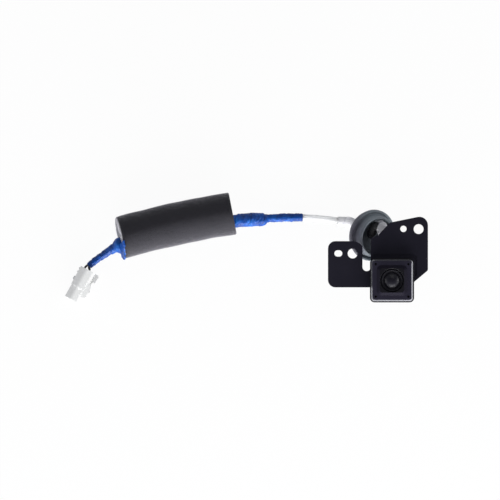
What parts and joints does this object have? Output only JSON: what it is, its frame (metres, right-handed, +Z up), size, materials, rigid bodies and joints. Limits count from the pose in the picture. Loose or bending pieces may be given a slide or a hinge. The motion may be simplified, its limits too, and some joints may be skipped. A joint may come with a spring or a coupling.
{
  "type": "vehicle backup camera kit",
  "caption": "Square wide-angle camera head on a stamped steel bracket, with a rubber panel grommet, a taped lead in a foam sleeve and a latched plug.",
  "frame": {"origin": "centre of the camera head and bracket seen from above, on the surface that the kit lies on", "axes": "+Z up, the way the lens looks; +X along the bracket, away from the plug; +Y from the camera towards the grommet"},
  "size_m": [0.196, 0.0581, 0.0306],
  "materials": {
    "bracket_coat": "satin black coat",
    "screw_black": "black zinc",
    "case_plastic": "fine satin",
    "seal_rubber": "matte",
    "screw_steel": "bright",
    "lens_black": "matte black",
    "lens_glass": "coated glass",
    "filter_glass": "tinted glass",
    "sensor_die": "gloss",
    "board_green": "solder resist",
    "link_cream": "matte",
    "post_brass": "turned",
    "chip_black": "matte",
    "can_steel": "tinned",
    "lead_white": "soft white sheath",
    "cloth_white": "woven white wrap",
    "grommet_rubber": "dark grey, slightly shiny",
    "blue_tape": "royal blue tape, crinkled",
    "grey_foam": "charcoal foam",
    "wire_black": "satin",
    "plug_white": "moulded white",
    "retainer_grey": "moulded grey",
    "terminal_tin": "tinned brass"
  },
  "bodies": {
    "kit": {"bracket": "bracket_coat", "bracket_screws": "screw_black", "front_case": "case_plastic", "rear_case": "case_plastic", "case_seal": "seal_rubber", "case_screws": "screw_steel", "lens_holder": "lens_black", "lens_barrel": "lens_black", "lens_retainer": "lens_black", "front_lens": "lens_glass", "second_lens": "lens_glass", "lens_spacer": "lens_black", "aperture_stop": "lens_black", "third_lens": "lens_glass", "rear_lens": "lens_glass", "ir_filter": "filter_glass", "lens_o_ring": "seal_rubber", "image_sensor": "sensor_die", "sensor_board": "board_green", "board_link": "link_cream", "board_spacers": "post_brass", "processor_board": "board_green", "processor_chip": "chip_black", "shield_can": "can_steel", "board_screws": "screw_steel", "cable_header": "link_cream", "cable_gland": "seal_rubber", "camera_cable": "lead_white", "cable_wrap": "cloth_white", "lead_boot": "seal_rubber", "neck_wrap": "cloth_white", "grommet": "grommet_rubber", "front_tape": "blue_tape", "foam_sleeve": "grey_foam", "rear_tape": "blue_tape", "plug_wires": "wire_black", "plug_housing": "plug_white", "plug_terminals": "terminal_tin", "plug_retainer": "retainer_grey"},
    "latch": {"plug_latch": "plug_white"}
  },
  "joints": [
    {"name": "latch_press", "type": "hinge", "parent": "kit", "child": "latch", "pos_m": [-0.1586, -0.01946, 0.0042], "axis": [0, 0, 1], "range_deg": [0, 5], "stiffness_Nm_per_rad": 0.3}
  ]
}
